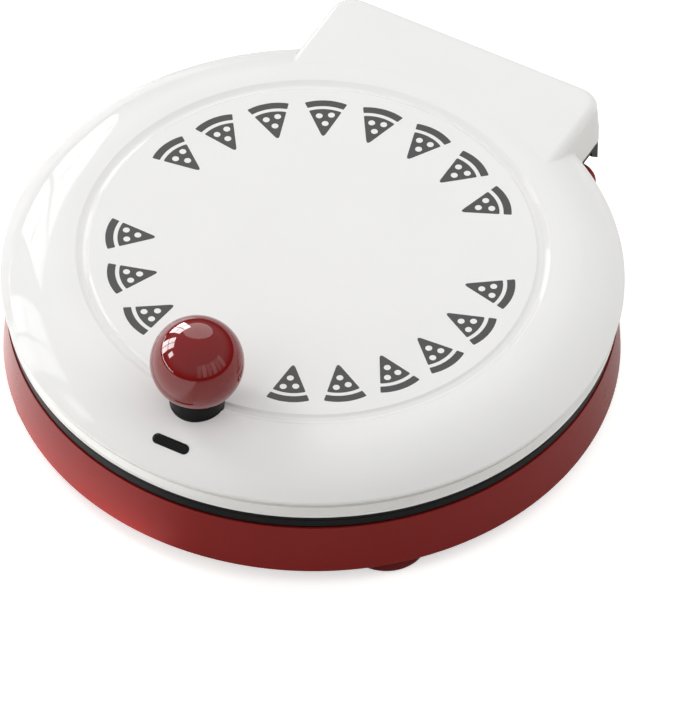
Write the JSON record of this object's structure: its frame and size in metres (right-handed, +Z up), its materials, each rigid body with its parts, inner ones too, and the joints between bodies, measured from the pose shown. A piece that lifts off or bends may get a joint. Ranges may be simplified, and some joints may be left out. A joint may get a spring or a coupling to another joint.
{
  "type": "electric pizza maker",
  "caption": "Round electric pizza maker with a domed white lid that hinges at the rear, a red base and a ball knob.",
  "frame": {"origin": "middle of the bounding box at the table, on the underside of the rubber pads", "axes": "+Z up, +Y towards the hinge at the rear, -Y towards the knob at the front, +X to the right seen from the front"},
  "size_m": [0.337, 0.3504, 0.1378],
  "materials": {
    "white_plastic": "glossy moulded plastic",
    "red_base": "satin moulded plastic",
    "red_knob": "polished",
    "black_plastic": "satin moulded plastic",
    "dark_window": "tinted and glossy",
    "plate_coating": "cast, with a non-stick coating",
    "heater_steel": "heat-tinted",
    "sheet_metal": "mill finish",
    "ceramic": "unglazed",
    "screw_steel": "zinc plated",
    "foot_rubber": "matte",
    "lamp_lens": "translucent"
  },
  "bodies": {
    "base": {"base_shell": "red_base", "base_ring": "black_plastic", "lower_pan": "plate_coating", "lower_heater": "heater_steel", "lower_reflector": "sheet_metal", "lower_thermostat": "ceramic", "thermal_fuse": "ceramic", "terminal_block": "ceramic", "cord_gland": "black_plastic", "feet": "red_base", "foot_pads": "foot_rubber", "foot_screws": "screw_steel", "pan_screws": "screw_steel", "hinge_brackets": "black_plastic", "bracket_screws": "screw_steel", "hinge_pins": "screw_steel"},
    "lid": {"lid_shell": "white_plastic", "lid_ring": "black_plastic", "upper_plate": "plate_coating", "upper_heater": "heater_steel", "upper_reflector": "sheet_metal", "upper_thermostat": "ceramic", "reflector_screws": "screw_steel", "ring_screws": "screw_steel", "knob_ball": "red_knob", "knob_neck": "black_plastic", "knob_screw": "screw_steel", "indicator_window": "dark_window", "indicator_lamp": "lamp_lens"}
  },
  "joints": [
    {"name": "lid_hinge", "type": "hinge", "parent": "base", "child": "lid", "pos_m": [0, 0.17125, 0.0431], "axis": [-1, 0, 0], "range_deg": [0, 100]}
  ]
}
